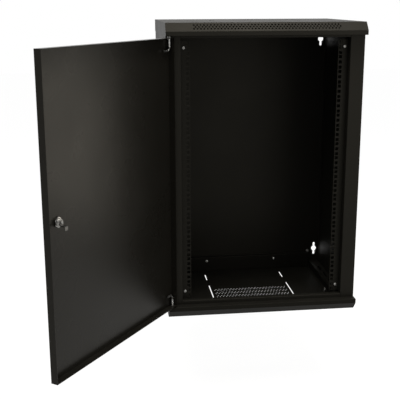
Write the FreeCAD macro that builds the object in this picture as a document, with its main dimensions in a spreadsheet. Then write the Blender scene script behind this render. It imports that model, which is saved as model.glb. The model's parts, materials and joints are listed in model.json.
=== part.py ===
import FreeCAD, Part

import os
import re

import Sketcher
from FreeCAD import Vector

# Wall mount network cabinet, 600 wide and 450 deep, with 18 rack units between its rails.
# Frame: X to the right seen from the front, Y back to the wall, Z up. The origin is the centre
# of the four wall keyholes on the rear face, so the cabinet lies at Y from -450 to 0.
# The solids are drawn with the door swung open by door_angle. All sizes are millimetres.
# Small round outlines that come many times are drawn with a few straight sides each.

SIZES = {
    # Shell
    "cabinet_width": 600,
    "cabinet_depth": 450,
    "cabinet_height": 906,
    "sheet": 1.2,
    "bend": 0.8,
    # Hood and base profile, front edge
    "bevel_depth": 21,
    "bevel_height": 24.5,
    "lip_height": 13.5,
    # Perforated strip in the hood's bevel, and the vent field in the floor
    "vent_count": 44,
    "vent_pitch": 10,
    "vent_half_width": 3.2,
    "vent_half_height": 2.6,
    "vent_row": 5.2,
    "field_columns": 24,
    "field_pitch": 10.5,
    "field_row": 10,
    "field_band": 29.5,
    "field_setback": 207,
    # Cable entry plates in floor and roof, each with two slots along either side
    "knockout_half_width": 137,
    "knockout_front": 166,
    "knockout_rear": 394,
    "knockout_bridge": 56,
    "knockout_long_slot": 116,
    "knockout_slot_half_width": 1.8,
    # Fan position in the roof
    "fan_setback": 98,
    "fan_hole_spacing": 105,
    "fan_hole_radius": 2.2,
    # Frame behind the door
    "post_setback": 24.5,
    "post_width": 44,
    "post_return": 20,
    "sill_height": 50,
    "header_height": 45,
    "frame_return": 16,
    # Depth rails, along both sides of floor and roof
    "depth_rail_width": 37,
    "depth_rail_height": 22,
    "depth_rail_slot_length": 40,
    "depth_rail_slot_half_width": 3.2,
    "depth_rail_slot_pitch": 70,
    "depth_rail_slots": 5,
    # Rack rails
    "rack_units": 18,
    "unit_height": 44.45,
    "rack_hole_spacing": 465.1,
    "rack_hole": 9.5,
    "rack_hole_step": 15.875,
    "rail_setback": 50,
    "rail_sheet": 2,
    "rail_inner": 225,
    "rail_outer": 260,
    "rail_side": 32,
    # Rack rail brackets
    "bracket_tab": 26,
    "bracket_overlap": 36,
    "bracket_foot": 34,
    "bracket_depth": 28,
    "rail_screw_inset": 20,
    "rail_screw_offset": 244.5,
    # Rear wall
    "keyhole_spacing_x": 560,
    "keyhole_spacing_z": 768,
    "keyhole_radius": 9.2,
    "keyhole_slot_half_width": 3.8,
    "keyhole_reach": 23,
    "rear_flange": 20,
    "cross_rail_half_width": 256,
    "cross_rail_height": 54,
    "cross_rail_depth": 15,
    "cross_screw_offset": 125,
    "cross_screw_height": 40,
    # Screws
    "screw_radius": 2.5,
    "screw_head_radius": 4.8,
    "screw_head_height": 3,
    "screw_length": 7,
    "fit_clearance": 0.05,
    # Earth studs
    "stud_radius": 3,
    "stud_length": 14,
    "floor_stud_offset": 248,
    "floor_stud_setback": 174,
    "wall_stud_offset": 255.5,
    "wall_stud_height": 60.5,
    "nut_radius": 5.8,
    "nut_height": 5,
    "nut_gap": 0.2,
    # Door
    "door_depth": 21,
    "door_gap": 4,
    "door_side_gap": 1.5,
    "door_angle": 125.2,
    "hinge_inset": 10.25,
    "hinge_setback": 8,
    # Hinge pins
    "pin_radius": 3,
    "pin_reach": 37,
    "pin_arm": 26,
    "pin_bend": 8,
    "pin_engagement": 6,
    "pin_tip_chamfer": 1,
    "washer_radius": 6,
    "washer_play": 0.2,
    "clip_radius": 5.2,
    "clip_thickness": 1.2,
    "guide_width": 16,
    "guide_depth": 13,
    "guide_base": 16,
    "guide_gap": 2,
    "spring_inner_radius": 3.4,
    "spring_outer_radius": 4.5,
    # Cam lock
    "lock_inset": 54,
    "lock_drop": 6,
    "lock_radius": 9.4,
    "lock_flange_radius": 12,
    "lock_flange": 2,
    "lock_length": 13,
    "plug_radius": 6,
    "key_slot_width": 1.6,
    "key_slot_length": 8,
    "lock_nut_radius": 14.5,
    "lock_nut_thickness": 5,
    "cam_thickness": 2,
    "cam_half_width": 5.5,
    "cam_crank": 7,
    "cam_reach": 18,
    "latch_gap": 0.8,
    "cam_screw_radius": 2,
    "cam_screw_head_radius": 3.8,
    "cam_screw_head": 3,
    "cam_screw_grip": 6,
    "running_gap": 0.3,
}

# Levels and planes that several pieces share, written in the sheet's own names.
ROOF = "cabinet_height / 2"
CEILING = "(cabinet_height / 2 - sheet)"
LIP_EDGE = "(cabinet_height / 2 - bevel_height - lip_height)"
FRONT = "-cabinet_depth"
POST_FACE = "(post_setback - cabinet_depth)"
POST_BACK = "(post_setback - cabinet_depth + post_return)"
REAR_FACE = "(-sheet)"
PANEL_OUTSIDE = "(cabinet_width / 2 - sheet)"
PANEL_INSIDE = "(cabinet_width / 2 - 2 * sheet)"
POST_EDGE = "(cabinet_width / 2 - sheet - post_width)"
BEVEL_ANGLE = "atan(bevel_height / bevel_depth)"
DEPTH_RAIL_OUTSIDE = "(cabinet_width / 2 - 3 * sheet)"
DEPTH_RAIL_TOP = "(cabinet_height / 2 - sheet - depth_rail_height)"
RAIL_FACE = "(rail_setback - cabinet_depth)"
RAIL_END = "(rack_units * unit_height / 2)"
RAIL_SCREW_LEVEL = "(rack_units * unit_height / 2 - rail_screw_inset)"
FOOT_SCREW_X = "(cabinet_width / 2 - 3 * sheet - depth_rail_width / 2)"
FOOT_SCREW_Y = "(rail_setback - cabinet_depth + rail_sheet + bracket_depth / 2)"
DOOR_EDGE = "(cabinet_height / 2 - bevel_height - lip_height - door_gap)"
HINGE_X = "(hinge_inset - cabinet_width / 2)"
HINGE_Y = "(hinge_setback - cabinet_depth)"
DOOR_LEFT = "(door_side_gap - cabinet_width / 2)"
DOOR_RIGHT = "(cabinet_width / 2 - door_side_gap)"
PIN_ARM = "(cabinet_height / 2 - bevel_height - lip_height - door_gap - pin_reach)"
GUIDE_LEVEL = f"({PIN_ARM} + pin_bend + guide_gap)"
LOCK_X = "(cabinet_width / 2 - door_side_gap - lock_inset)"
LOCK_Z = "(-lock_drop)"
LATCH_FACE = "(post_setback - cabinet_depth + sheet + latch_gap)"
SCREW_HOLE = "(screw_radius + fit_clearance)"
PIN_HOLE = "(pin_radius + fit_clearance)"

# Edges are picked out by where they run, to within this distance.
SNAP = 0.01

# Straight sides round a screw, a hinge pin and a lock.
SCREW_SIDES = 8
PIN_SIDES = 16
LOCK_SIDES = 24

SIDES = {"left": -1, "right": 1}
LEVELS = {"lower": -1, "upper": 1}

doc = FreeCAD.newDocument("wall_mount_network_cabinet")
nodes = []


# ---------------------------------------------------------------- document helpers


def fill_sheet():
    """Write every driving size to the spreadsheet, one aliased cell each."""
    sheet = doc.addObject("Spreadsheet::Sheet", "Sizes")
    for row, (alias, number) in enumerate(SIZES.items(), start=1):
        sheet.set(f"A{row}", alias)
        sheet.set(f"B{row}", str(number))
        sheet.setAlias(f"B{row}", alias)
    doc.recompute()


def formula(text):
    """Put the sheet's name before each of its aliases in an expression."""

    def full_name(word):
        return f"Sizes.{word[0]}" if word[0] in SIZES else word[0]

    return re.sub(r"[a-z][a-z_]*", full_name, text)


def bind(thing, prop, text):
    thing.setExpression(prop, formula(text))


def number(thing, text):
    """The present value of an expression, to lay sketch geometry near its solved place."""
    result = thing.evalExpression(formula(text))
    return float(getattr(result, "Value", result))


def new_body(label):
    body = doc.addObject("PartDesign::Body", label)
    body.Label = label
    nodes.append(body)
    return body


def origin_feature(body, role):
    return next(item for item in body.Origin.OriginFeatures if item.Role == role)


def span(side, inner, outer):
    """The low and high X (or Z) of a stretch given by its inner and outer distance."""
    if side > 0:
        return inner, outer
    return f"-({outer})", f"-({inner})"


# ---------------------------------------------------------------- sketch shapes


def fix_point(sketch, geometry, point, x, y):
    """Tie a point of a sketch to a pair of expressions, from the sketch's origin."""
    for kind, text in (("DistanceX", x), ("DistanceY", y)):
        rule = Sketcher.Constraint(kind, -1, 1, geometry, point, number(sketch, text))
        bind(sketch, f"Constraints[{sketch.addConstraint(rule)}]", text)


def polygon(corners):
    """A closed outline of straight edges; each corner is a pair of expressions."""

    def draw(sketch):
        points = [Vector(number(sketch, x), number(sketch, y), 0) for x, y in corners]
        ends = points[1:] + points[:1]
        lines = [sketch.addGeometry(Part.LineSegment(a, b), False) for a, b in zip(points, ends)]
        for line, following in zip(lines, lines[1:] + lines[:1]):
            sketch.addConstraint(Sketcher.Constraint("Coincident", line, 2, following, 1))
        for line, (x, y) in zip(lines, corners):
            fix_point(sketch, line, 1, x, y)

    return draw


def rectangle(left, right, low, high):
    return polygon([(left, low), (right, low), (right, high), (left, high)])


def diamond(x, y, across, tall):
    """A vent hole with a corner on each side, above and below its centre."""
    return polygon(
        [(f"{x} + {across}", y), (x, f"{y} + {tall}"), (f"{x} - {across}", y), (x, f"{y} - {tall}")]
    )


def disc(sides, x, y, radius):
    """A regular outline whose corners lie on a circle."""
    turns = [360 / sides * (index + 0.5) for index in range(sides)]
    return polygon([(f"{x} + {radius} * cos({turn})", f"{y} + {radius} * sin({turn})") for turn in turns])


def bore(sides, x, y, radius):
    """A regular hole whose sides touch a circle, so that a rod of that radius turns in it."""
    return disc(sides, x, y, f"({radius}) / cos({180 / sides})")


def bar(x, y, half_width, half_length):
    """A long outline with its corners cut back, upright in the sketch."""
    shoulder, nose = f"0.41 * {half_width}", f"({half_length} - 0.59 * {half_width})"
    quarter = [(half_width, nose), (shoulder, half_length)]
    corners = [*quarter, *((f"-{a}", b) for a, b in reversed(quarter))]
    corners += [(f"-{a}", f"-{b}") for a, b in quarter]
    corners += [(a, f"-{b}") for a, b in reversed(quarter)]
    return polygon([(f"{x} + {a}", f"{y} + {b}") for a, b in corners])


def circle(x, y, radius):
    def draw(sketch):
        centre = Vector(number(sketch, x), number(sketch, y), 0)
        ring = sketch.addGeometry(Part.Circle(centre, Vector(0, 0, 1), number(sketch, radius)), False)
        fix_point(sketch, ring, 3, x, y)
        rule = Sketcher.Constraint("Radius", ring, number(sketch, radius))
        bind(sketch, f"Constraints[{sketch.addConstraint(rule)}]", radius)

    return draw


# ---------------------------------------------------------------- features


def new_sketch(body, plane, level, shapes):
    """A sketch on one of the body's own origin planes, shifted to a level on the third axis."""
    sketch = body.newObject("Sketcher::SketchObject", "sketch")
    sketch.AttachmentSupport = [(origin_feature(body, f"{plane}_Plane"), "")]
    sketch.MapMode = "FlatFace"
    outward = -1 if plane == "XZ" else 1
    bind(sketch, ".AttachmentOffset.Base.z", f"{outward} * ({level})")
    for draw in shapes:
        draw(sketch)
    return sketch


def extrude(body, kind, plane, low, high, shapes):
    feature = body.newObject(kind, kind.split("::")[1].lower())
    feature.Profile = new_sketch(body, plane, low, shapes)
    bind(feature, "Length", f"({high}) - ({low})")
    adds = kind == "PartDesign::Pad"
    feature.Reversed = adds == (plane == "XZ")
    body.Tip = feature
    return feature


def pad(body, plane, low, high, *shapes):
    """Add the shapes, from the low to the high level along the plane's normal axis."""
    return extrude(body, "PartDesign::Pad", plane, low, high, shapes)


def cut(body, plane, low, high, *shapes):
    """Take the shapes away, from the low to the high level along the plane's normal axis."""
    return extrude(body, "PartDesign::Pocket", plane, low, high, shapes)


def repeat(body, feature, axis, pitch, count):
    pattern = body.newObject("PartDesign::LinearPattern", "row")
    pattern.Originals = [feature]
    pattern.Direction = (origin_feature(body, f"{axis}_Axis"), [""])
    bind(pattern, "Length", f"{pitch} * ({count} - 1)")
    bind(pattern, "Occurrences", count)
    body.Tip = pattern
    return pattern


def round_bends(body, axis, places, radius):
    """Round the straight edges that run along an axis through the given places."""
    doc.recompute()
    base = body.Tip
    others = [name for name in ("x", "y", "z") if name != axis]
    wanted = [tuple(number(body, text) for text in place) for place in places]

    def at(edge, place):
        targets = list(zip(others, place))
        ends = [vertex.Point for vertex in edge.Vertexes]
        return all(abs(getattr(end, name) - where) < SNAP for end in ends for name, where in targets)

    names = [
        f"Edge{index}"
        for index, edge in enumerate(base.Shape.Edges, start=1)
        if len(edge.Vertexes) == 2 and any(at(edge, place) for place in wanted)
    ]
    fillet = body.newObject("PartDesign::Fillet", "bend")
    fillet.Base = (base, names)
    bind(fillet, "Radius", radius)
    body.Tip = fillet
    return fillet


def swing(thing):
    """Carry a piece of the closed door to the open rest pose, about the hinge axis."""
    turn = "rotation(vector(0; 0; 1); -door_angle)"
    centre = f"vector({HINGE_X}; {HINGE_Y}; 0)"
    bind(thing, "Placement", f"placement(vector(0; 0; 0); {turn}; {centre})")


# ---------------------------------------------------------------- hood and base


def tray(label, face):
    """One end of the shell: a flat sheet whose front edge is folded into a bevel, a lip and a
    shelf above or below the door, closed by side flanges. face is 1 for the roof, -1 for the floor."""

    def level(text):
        return f"{face} * ({text})"

    bevel_foot = f"{ROOF} - bevel_height"
    outer = [
        ("0", level(ROOF)),
        (f"{FRONT} + bevel_depth", level(ROOF)),
        (FRONT, level(bevel_foot)),
        (FRONT, level(LIP_EDGE)),
        (POST_FACE, level(LIP_EDGE)),
    ]
    inner = [
        (POST_FACE, level(f"{LIP_EDGE} + sheet")),
        (f"{FRONT} + sheet", level(f"{LIP_EDGE} + sheet")),
        (f"{FRONT} + sheet", level(f"{bevel_foot} - sheet * tan(45 deg - {BEVEL_ANGLE} / 2)")),
        (f"{FRONT} + bevel_depth + sheet * tan({BEVEL_ANGLE} / 2)", level(CEILING)),
        ("0", level(CEILING)),
    ]
    body = new_body(label)
    pad(body, "YZ", "-cabinet_width / 2", "cabinet_width / 2", polygon(outer + inner))
    flange = [*outer[:4], ("0", level(LIP_EDGE))]
    for side in SIDES.values():
        pad(body, "YZ", *span(side, PANEL_OUTSIDE, "cabinet_width / 2"), polygon(flange))
    round_bends(body, "x", outer[1:4], "bend + sheet")

    hinge_low, hinge_high = span(face, f"{LIP_EDGE} - sheet", f"{LIP_EDGE} + 2 * sheet")
    cut(body, "XY", hinge_low, hinge_high, bore(PIN_SIDES, HINGE_X, HINGE_Y, PIN_HOLE))
    low, high = span(face, f"{CEILING} - sheet", f"{ROOF} + sheet")
    cut(body, "XY", low, high, *knockout_slots())
    return body


def knockout_slots():
    """The slots that free the cable entry plate: a long and a short one along each side."""
    front = "(knockout_front - cabinet_depth)"
    rear = "(knockout_rear - cabinet_depth)"
    half_width = "knockout_slot_half_width"
    far_slot = "(knockout_rear - knockout_front - knockout_long_slot - knockout_bridge)"
    shapes = []
    for side in SIDES.values():
        x = f"{side} * knockout_half_width"
        shapes.append(bar(x, f"{front} + knockout_long_slot / 2", half_width, "knockout_long_slot / 2"))
        shapes.append(bar(x, f"{rear} - {far_slot} / 2", half_width, f"{far_slot} / 2"))
    return shapes


def vent_field(body, low, high):
    """Three bands of two staggered rows of holes, inside the cable entry plate."""
    start = "(-field_pitch * (field_columns - 0.5) / 2)"
    shapes = []
    for band in (-1, 0, 1):
        for step, shift in ((-0.5, 0), (0.5, 0.5)):
            row = f"field_setback - cabinet_depth + {band} * field_band + {step} * field_row"
            column = f"{start} + {shift} * field_pitch"
            shapes.append(diamond(column, row, "vent_half_width", "vent_half_width"))
    repeat(body, cut(body, "XY", low, high, *shapes), "X", "field_pitch", "field_columns")


def bevel_vents(body):
    """Three staggered rows of holes through the hood's bevel."""
    start = "(-vent_pitch * (vent_count - 0.5) / 2)"
    middle = f"({ROOF} - bevel_height / 2)"
    shapes = []
    for step, shift in ((-1, 0), (0, 0.5), (1, 0)):
        place = f"{start} + {shift} * vent_pitch", f"{middle} + {step} * vent_row"
        shapes.append(diamond(*place, "vent_half_width", "vent_half_height"))
    holes = cut(body, "XZ", FRONT, f"{FRONT} + bevel_depth + sheet", *shapes)
    repeat(body, holes, "X", "vent_pitch", "vent_count")


def roof_hood():
    body = tray("roof_hood", 1)
    bevel_vents(body)
    middle = "fan_setback - cabinet_depth"
    holes = [
        circle(f"{x} * fan_hole_spacing", f"{middle} + {y} * fan_hole_spacing", "fan_hole_radius")
        for x in (-0.5, 0.5)
        for y in (-0.5, 0.5)
    ]
    cut(body, "XY", f"{CEILING} - sheet", f"{ROOF} + sheet", *holes)


def base_tray():
    body = tray("base_tray", -1)
    vent_field(body, f"-({ROOF}) - sheet", f"-{CEILING} + sheet")


# ---------------------------------------------------------------- walls and frame


def rear_panel():
    """The wall plate, with a forward flange along each side and four keyholes."""
    body = new_body("rear_panel")
    edge, inside = PANEL_INSIDE, f"({PANEL_INSIDE} - sheet)"
    profile = [
        (f"-{edge}", "0"),
        (edge, "0"),
        (edge, "-rear_flange"),
        (inside, "-rear_flange"),
        (inside, REAR_FACE),
        (f"-{inside}", REAR_FACE),
        (f"-{inside}", "-rear_flange"),
        (f"-{edge}", "-rear_flange"),
    ]
    pad(body, "XY", f"-{CEILING}", CEILING, polygon(profile))
    round_bends(body, "z", [(f"-{edge}", "0"), (edge, "0")], "bend + sheet")
    centres = [
        (f"{side} * keyhole_spacing_x / 2", f"{level} * keyhole_spacing_z / 2")
        for side in SIDES.values()
        for level in LEVELS.values()
    ]
    low, high = "-2 * sheet", "sheet"
    cut(body, "XZ", low, high, *(disc(LOCK_SIDES, x, z, "keyhole_radius") for x, z in centres))
    slots = (bar(x, z, "keyhole_slot_half_width", "keyhole_reach") for x, z in centres)
    cut(body, "XZ", low, high, *slots)


def side_panel(name, side):
    """A plain sheet, tucked inside the side flanges of the hood and the base."""
    body = new_body(f"side_panel_{name}")
    x_low, x_high = span(side, PANEL_INSIDE, PANEL_OUTSIDE)
    pad(body, "YZ", x_low, x_high, rectangle(f"{POST_FACE} + sheet", "0", f"-{CEILING}", CEILING))


def front_post(name, side):
    """An upright channel: a flat face beside the door opening, with a flange back along the side
    panel and a return into the cabinet. The right one is slotted for the lock's cam."""
    body = new_body(f"front_post_{name}")

    def x(text):
        return f"{side} * ({text})"

    inner = f"{POST_EDGE} + sheet"
    flange = f"{PANEL_INSIDE} - sheet"
    profile = [
        (x(PANEL_OUTSIDE), POST_FACE),
        (x(POST_EDGE), POST_FACE),
        (x(POST_EDGE), POST_BACK),
        (x(inner), POST_BACK),
        (x(inner), f"{POST_FACE} + sheet"),
        (x(flange), f"{POST_FACE} + sheet"),
        (x(flange), POST_BACK),
        (x(PANEL_INSIDE), POST_BACK),
        (x(PANEL_INSIDE), f"{POST_FACE} + sheet"),
        (x(PANEL_OUTSIDE), f"{POST_FACE} + sheet"),
    ]
    pad(body, "XY", f"-{CEILING}", CEILING, polygon(profile))
    round_bends(body, "z", [(x(POST_EDGE), POST_FACE)], "bend + sheet")
    if side > 0:
        slot_top = f"{LOCK_Z} + cam_half_width + 2 * sheet"
        slot_foot = f"{LOCK_Z} - cam_reach - 2 * sheet"
        slot_back = f"{LATCH_FACE} + cam_thickness + 2 * sheet"
        opening = rectangle(f"{POST_FACE} + sheet", slot_back, slot_foot, slot_top)
        cut(body, "YZ", f"{POST_EDGE} - sheet", f"{POST_EDGE} + 2 * sheet", opening)


def cross_member(label, face, tall):
    """The sill or header between the posts: an upright strip with a return along its inner edge."""
    body = new_body(label)

    def level(text):
        return f"{face} * ({text})"

    edge = f"{ROOF} - {tall}"
    back = f"{POST_FACE} + frame_return"
    profile = [
        (POST_FACE, level(CEILING)),
        (POST_FACE, level(edge)),
        (back, level(edge)),
        (back, level(f"{edge} + sheet")),
        (f"{POST_FACE} + sheet", level(f"{edge} + sheet")),
        (f"{POST_FACE} + sheet", level(CEILING)),
    ]
    pad(body, "YZ", f"-{POST_EDGE}", POST_EDGE, polygon(profile))
    round_bends(body, "x", [(POST_FACE, level(edge))], "bend + sheet")


def depth_rail(name, side, height_name, face):
    """A channel along the floor or the roof, from the post to the rear wall, slotted for the
    rack rails' brackets."""
    body = new_body(f"depth_rail_{height_name}_{name}")

    def place(x, z):
        return f"{side} * ({x})", f"{face} * ({z})"

    inside = f"{DEPTH_RAIL_OUTSIDE} - depth_rail_width"
    profile = [
        place(DEPTH_RAIL_OUTSIDE, CEILING),
        place(DEPTH_RAIL_OUTSIDE, DEPTH_RAIL_TOP),
        place(inside, DEPTH_RAIL_TOP),
        place(inside, CEILING),
        place(f"{inside} + rail_sheet", CEILING),
        place(f"{inside} + rail_sheet", f"{DEPTH_RAIL_TOP} + rail_sheet"),
        place(f"{DEPTH_RAIL_OUTSIDE} - rail_sheet", f"{DEPTH_RAIL_TOP} + rail_sheet"),
        place(f"{DEPTH_RAIL_OUTSIDE} - rail_sheet", CEILING),
    ]
    pad(body, "XZ", POST_BACK, REAR_FACE, polygon(profile))
    round_bends(body, "y", profile[1:3], "bend + sheet")
    low, high = span(face, f"{DEPTH_RAIL_TOP} - sheet", f"{DEPTH_RAIL_TOP} + 2 * rail_sheet")
    x = f"{side} * ({DEPTH_RAIL_OUTSIDE} - depth_rail_width / 2)"
    first = f"({RAIL_FACE} + 2 * rail_sheet + depth_rail_slot_length / 2)"
    shape = bar(x, first, "depth_rail_slot_half_width", "depth_rail_slot_length / 2")
    repeat(body, cut(body, "XY", low, high, shape), "Y", "depth_rail_slot_pitch", "depth_rail_slots")


def rear_cross_rail(name, face):
    """A channel across the foot or head of the rear wall."""
    body = new_body(f"rear_cross_rail_{name}")

    def level(text):
        return f"{face} * ({text})"

    face_y = f"({REAR_FACE} - cross_rail_depth)"
    edge = f"{ROOF} - cross_rail_height"
    profile = [
        (REAR_FACE, level(CEILING)),
        (face_y, level(CEILING)),
        (face_y, level(edge)),
        (REAR_FACE, level(edge)),
        (REAR_FACE, level(f"{edge} + rail_sheet")),
        (f"{face_y} + rail_sheet", level(f"{edge} + rail_sheet")),
        (f"{face_y} + rail_sheet", level(f"{CEILING} - rail_sheet")),
        (REAR_FACE, level(f"{CEILING} - rail_sheet")),
    ]
    pad(body, "YZ", "-cross_rail_half_width", "cross_rail_half_width", polygon(profile))
    round_bends(body, "x", profile[1:3], "bend + sheet")
    z = level(f"{ROOF} - cross_screw_height")
    holes = (bore(SCREW_SIDES, f"{side} * cross_screw_offset", z, SCREW_HOLE) for side in SIDES.values())
    cut(body, "XZ", f"{face_y} - sheet", f"{face_y} + 2 * rail_sheet", *holes)


# ---------------------------------------------------------------- rack rails


def rack_rail(name, side):
    """An angle with the square cage-nut holes of every rack unit in its front flange."""
    body = new_body(f"rack_rail_{name}")
    outside, inside = f"{side} * rail_outer", f"{side} * rail_inner"
    profile = [
        (inside, RAIL_FACE),
        (outside, RAIL_FACE),
        (outside, f"{RAIL_FACE} + rail_side"),
        (f"{side} * (rail_outer - rail_sheet)", f"{RAIL_FACE} + rail_side"),
        (f"{side} * (rail_outer - rail_sheet)", f"{RAIL_FACE} + rail_sheet"),
        (inside, f"{RAIL_FACE} + rail_sheet"),
    ]
    pad(body, "XY", f"-{RAIL_END}", RAIL_END, polygon(profile))
    round_bends(body, "z", [(outside, RAIL_FACE)], "bend + sheet")
    x = f"{side} * rack_hole_spacing / 2"
    low, high = f"{RAIL_FACE} - sheet", f"{RAIL_FACE} + 2 * rail_sheet"
    holes = []
    for step in (-1, 0, 1):
        z = f"(-{RAIL_END} + unit_height / 2 + {step} * rack_hole_step)"
        half = "rack_hole / 2"
        holes.append(rectangle(f"{x} - {half}", f"{x} + {half}", f"{z} - {half}", f"{z} + {half}"))
    repeat(body, cut(body, "XZ", low, high, *holes), "Z", "unit_height", "rack_units")
    screws = (
        bore(SCREW_SIDES, f"{side} * rail_screw_offset", f"{level} * {RAIL_SCREW_LEVEL}", SCREW_HOLE)
        for level in LEVELS.values()
    )
    cut(body, "XZ", low, high, *screws)


def rail_bracket(name, side, height_name, face):
    """Holds one end of a rack rail: a plate against the rail's side flange, a foot out over the
    depth rail and a tab behind the rail's front flange."""
    body = new_body(f"rail_bracket_{height_name}_{name}")

    def place(x, z):
        return f"{side} * ({x})", f"{face} * ({z})"

    front = f"({RAIL_FACE} + rail_sheet)"
    tip = f"({RAIL_END} - bracket_overlap)"
    plate = "(rail_outer - rail_sheet)"
    inside = f"({plate} - rail_sheet)"
    foot = f"({DEPTH_RAIL_TOP} - rail_sheet)"
    profile = [
        place(inside, tip),
        place(plate, tip),
        place(plate, foot),
        place(f"{inside} + bracket_foot", foot),
        place(f"{inside} + bracket_foot", DEPTH_RAIL_TOP),
        place(inside, DEPTH_RAIL_TOP),
    ]
    pad(body, "XZ", front, f"{front} + bracket_depth", polygon(profile))
    tab_left, tab_right = span(side, f"{plate} - bracket_tab", plate)
    tab_low, tab_high = span(face, tip, f"{RAIL_END} + rail_sheet")
    pad(body, "XZ", front, f"{front} + rail_sheet", rectangle(tab_left, tab_right, tab_low, tab_high))
    round_bends(body, "y", [profile[5]], "bend + sheet")
    hole = bore(SCREW_SIDES, f"{side} * rail_screw_offset", f"{face} * {RAIL_SCREW_LEVEL}", SCREW_HOLE)
    cut(body, "XZ", f"{front} - sheet", f"{front} + 2 * rail_sheet", hole)
    low, high = span(face, f"{foot} - sheet", f"{DEPTH_RAIL_TOP} + sheet")
    cut(body, "XY", low, high, bore(SCREW_SIDES, f"{side} * {FOOT_SCREW_X}", FOOT_SCREW_Y, SCREW_HOLE))


# ---------------------------------------------------------------- screws and studs

FACING = {
    "front": "rotation(vector(1; 0; 0); 90)",
    "up": "rotation(vector(1; 0; 0); 0)",
    "down": "rotation(vector(1; 0; 0); 180)",
}


def place_at(thing, x, y, z, facing):
    bind(thing, "Placement", f"placement(vector({x}; {y}; {z}); {FACING[facing]})")


def rod(sides, radius, low, height):
    """A prism that stands on a level of its own Z axis."""
    prism = doc.addObject("Part::Prism", "rod")
    prism.Polygon = sides
    bind(prism, "Circumradius", radius)
    bind(prism, "Height", height)
    bind(prism, ".Placement.Base.z", low)
    return prism


def pan_screw(x, y, z, facing):
    """A pan head screw, whose head bears on the given point and faces the given way."""
    head = rod(2 * SCREW_SIDES, "screw_head_radius", "0", "screw_head_height")
    screw = doc.addObject("Part::MultiFuse", "screw")
    screw.Shapes = [head, rod(SCREW_SIDES, "screw_radius", "-screw_length", "screw_length")]
    place_at(screw, x, y, z, facing)
    return screw


def weld_stud(x, y, z, facing):
    stud = rod(PIN_SIDES, "stud_radius", "0", "stud_length")
    place_at(stud, x, y, z, facing)
    return stud


def hex_nut(x, y, z, facing):
    """A nut just clear of the sheet that the stud is welded to."""
    thread_radius = f"(stud_radius + fit_clearance) / cos({180 / PIN_SIDES})"
    nut = doc.addObject("Part::Cut", "nut")
    nut.Base = rod(6, "nut_radius", "nut_gap", "nut_height")
    nut.Tool = rod(PIN_SIDES, thread_radius, "0", "nut_height + 2 * nut_gap")
    place_at(nut, x, y, z, facing)
    return nut


def group(label, members):
    """Like fasteners share one node, as separate solids."""
    bundle = doc.addObject("Part::Compound", label)
    bundle.Label = label
    bundle.Links = members
    nodes.append(bundle)


def fasteners():
    foot = f"({DEPTH_RAIL_TOP} - rail_sheet)"
    cross_face = f"({REAR_FACE} - cross_rail_depth)"
    cross_level = f"({ROOF} - cross_screw_height)"
    rail_places, bracket_places, cross_places = [], [], []
    for level in LEVELS.values():
        upright = "up" if level < 0 else "down"
        for side in SIDES.values():
            rail_places.append(
                (f"{side} * rail_screw_offset", RAIL_FACE, f"{level} * {RAIL_SCREW_LEVEL}", "front")
            )
            bracket_places.append((f"{side} * {FOOT_SCREW_X}", FOOT_SCREW_Y, f"{level} * {foot}", upright))
            cross_places.append(
                (f"{side} * cross_screw_offset", cross_face, f"{level} * {cross_level}", "front")
            )
    group("rail_screws", [pan_screw(*place) for place in rail_places])
    group("bracket_screws", [pan_screw(*place) for place in bracket_places])
    group("cross_rail_screws", [pan_screw(*place) for place in cross_places])
    studs = [
        ("floor_stud_offset", "floor_stud_setback - cabinet_depth", f"-{CEILING}", "up"),
        ("wall_stud_offset", REAR_FACE, f"wall_stud_height - {ROOF}", "front"),
    ]
    group("earth_studs", [weld_stud(*place) for place in studs])
    group("earth_nuts", [hex_nut(*place) for place in studs])


# ---------------------------------------------------------------- door


def door_panel():
    """A shallow pan with four flanges, drawn closed and then swung open."""
    body = new_body("door_panel")
    outline = rectangle(DOOR_LEFT, DOOR_RIGHT, f"-{DOOR_EDGE}", DOOR_EDGE)
    pad(body, "XZ", FRONT, f"{FRONT} + door_depth", outline)
    hollow = rectangle(
        f"{DOOR_LEFT} + sheet", f"{DOOR_RIGHT} - sheet", f"-{DOOR_EDGE} + sheet", f"{DOOR_EDGE} - sheet"
    )
    cut(body, "XZ", f"{FRONT} + sheet", f"{FRONT} + door_depth", hollow)
    round_bends(body, "z", [(DOOR_LEFT, FRONT), (DOOR_RIGHT, FRONT)], "bend + sheet")
    for face in LEVELS.values():
        low, high = span(face, f"{DOOR_EDGE} - 2 * sheet", f"{DOOR_EDGE} + sheet")
        cut(body, "XY", low, high, bore(PIN_SIDES, HINGE_X, HINGE_Y, PIN_HOLE))
    barrel = bore(LOCK_SIDES, LOCK_X, LOCK_Z, "lock_radius + fit_clearance")
    cut(body, "XZ", f"{FRONT} - sheet", f"{FRONT} + 2 * sheet", barrel)
    swing(body)


def hinge_guide(name, face):
    """A small angle on the back of the door's skin; its tab guides the pin and seats the spring."""
    body = new_body(f"hinge_guide_{name}")

    def level(text):
        return f"{face} * ({text})"

    skin = f"({FRONT} + sheet)"
    profile = [
        (skin, level(GUIDE_LEVEL)),
        (f"{skin} + guide_depth", level(GUIDE_LEVEL)),
        (f"{skin} + guide_depth", level(f"{GUIDE_LEVEL} + sheet")),
        (f"{skin} + sheet", level(f"{GUIDE_LEVEL} + sheet")),
        (f"{skin} + sheet", level(f"{GUIDE_LEVEL} + guide_base")),
        (skin, level(f"{GUIDE_LEVEL} + guide_base")),
    ]
    edge = f"({DOOR_LEFT} + sheet)"
    pad(body, "YZ", edge, f"{edge} + guide_width", polygon(profile))
    low, high = span(face, f"{GUIDE_LEVEL} - sheet", f"{GUIDE_LEVEL} + 2 * sheet")
    cut(body, "XY", low, high, bore(PIN_SIDES, HINGE_X, HINGE_Y, PIN_HOLE))
    swing(body)


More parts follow.
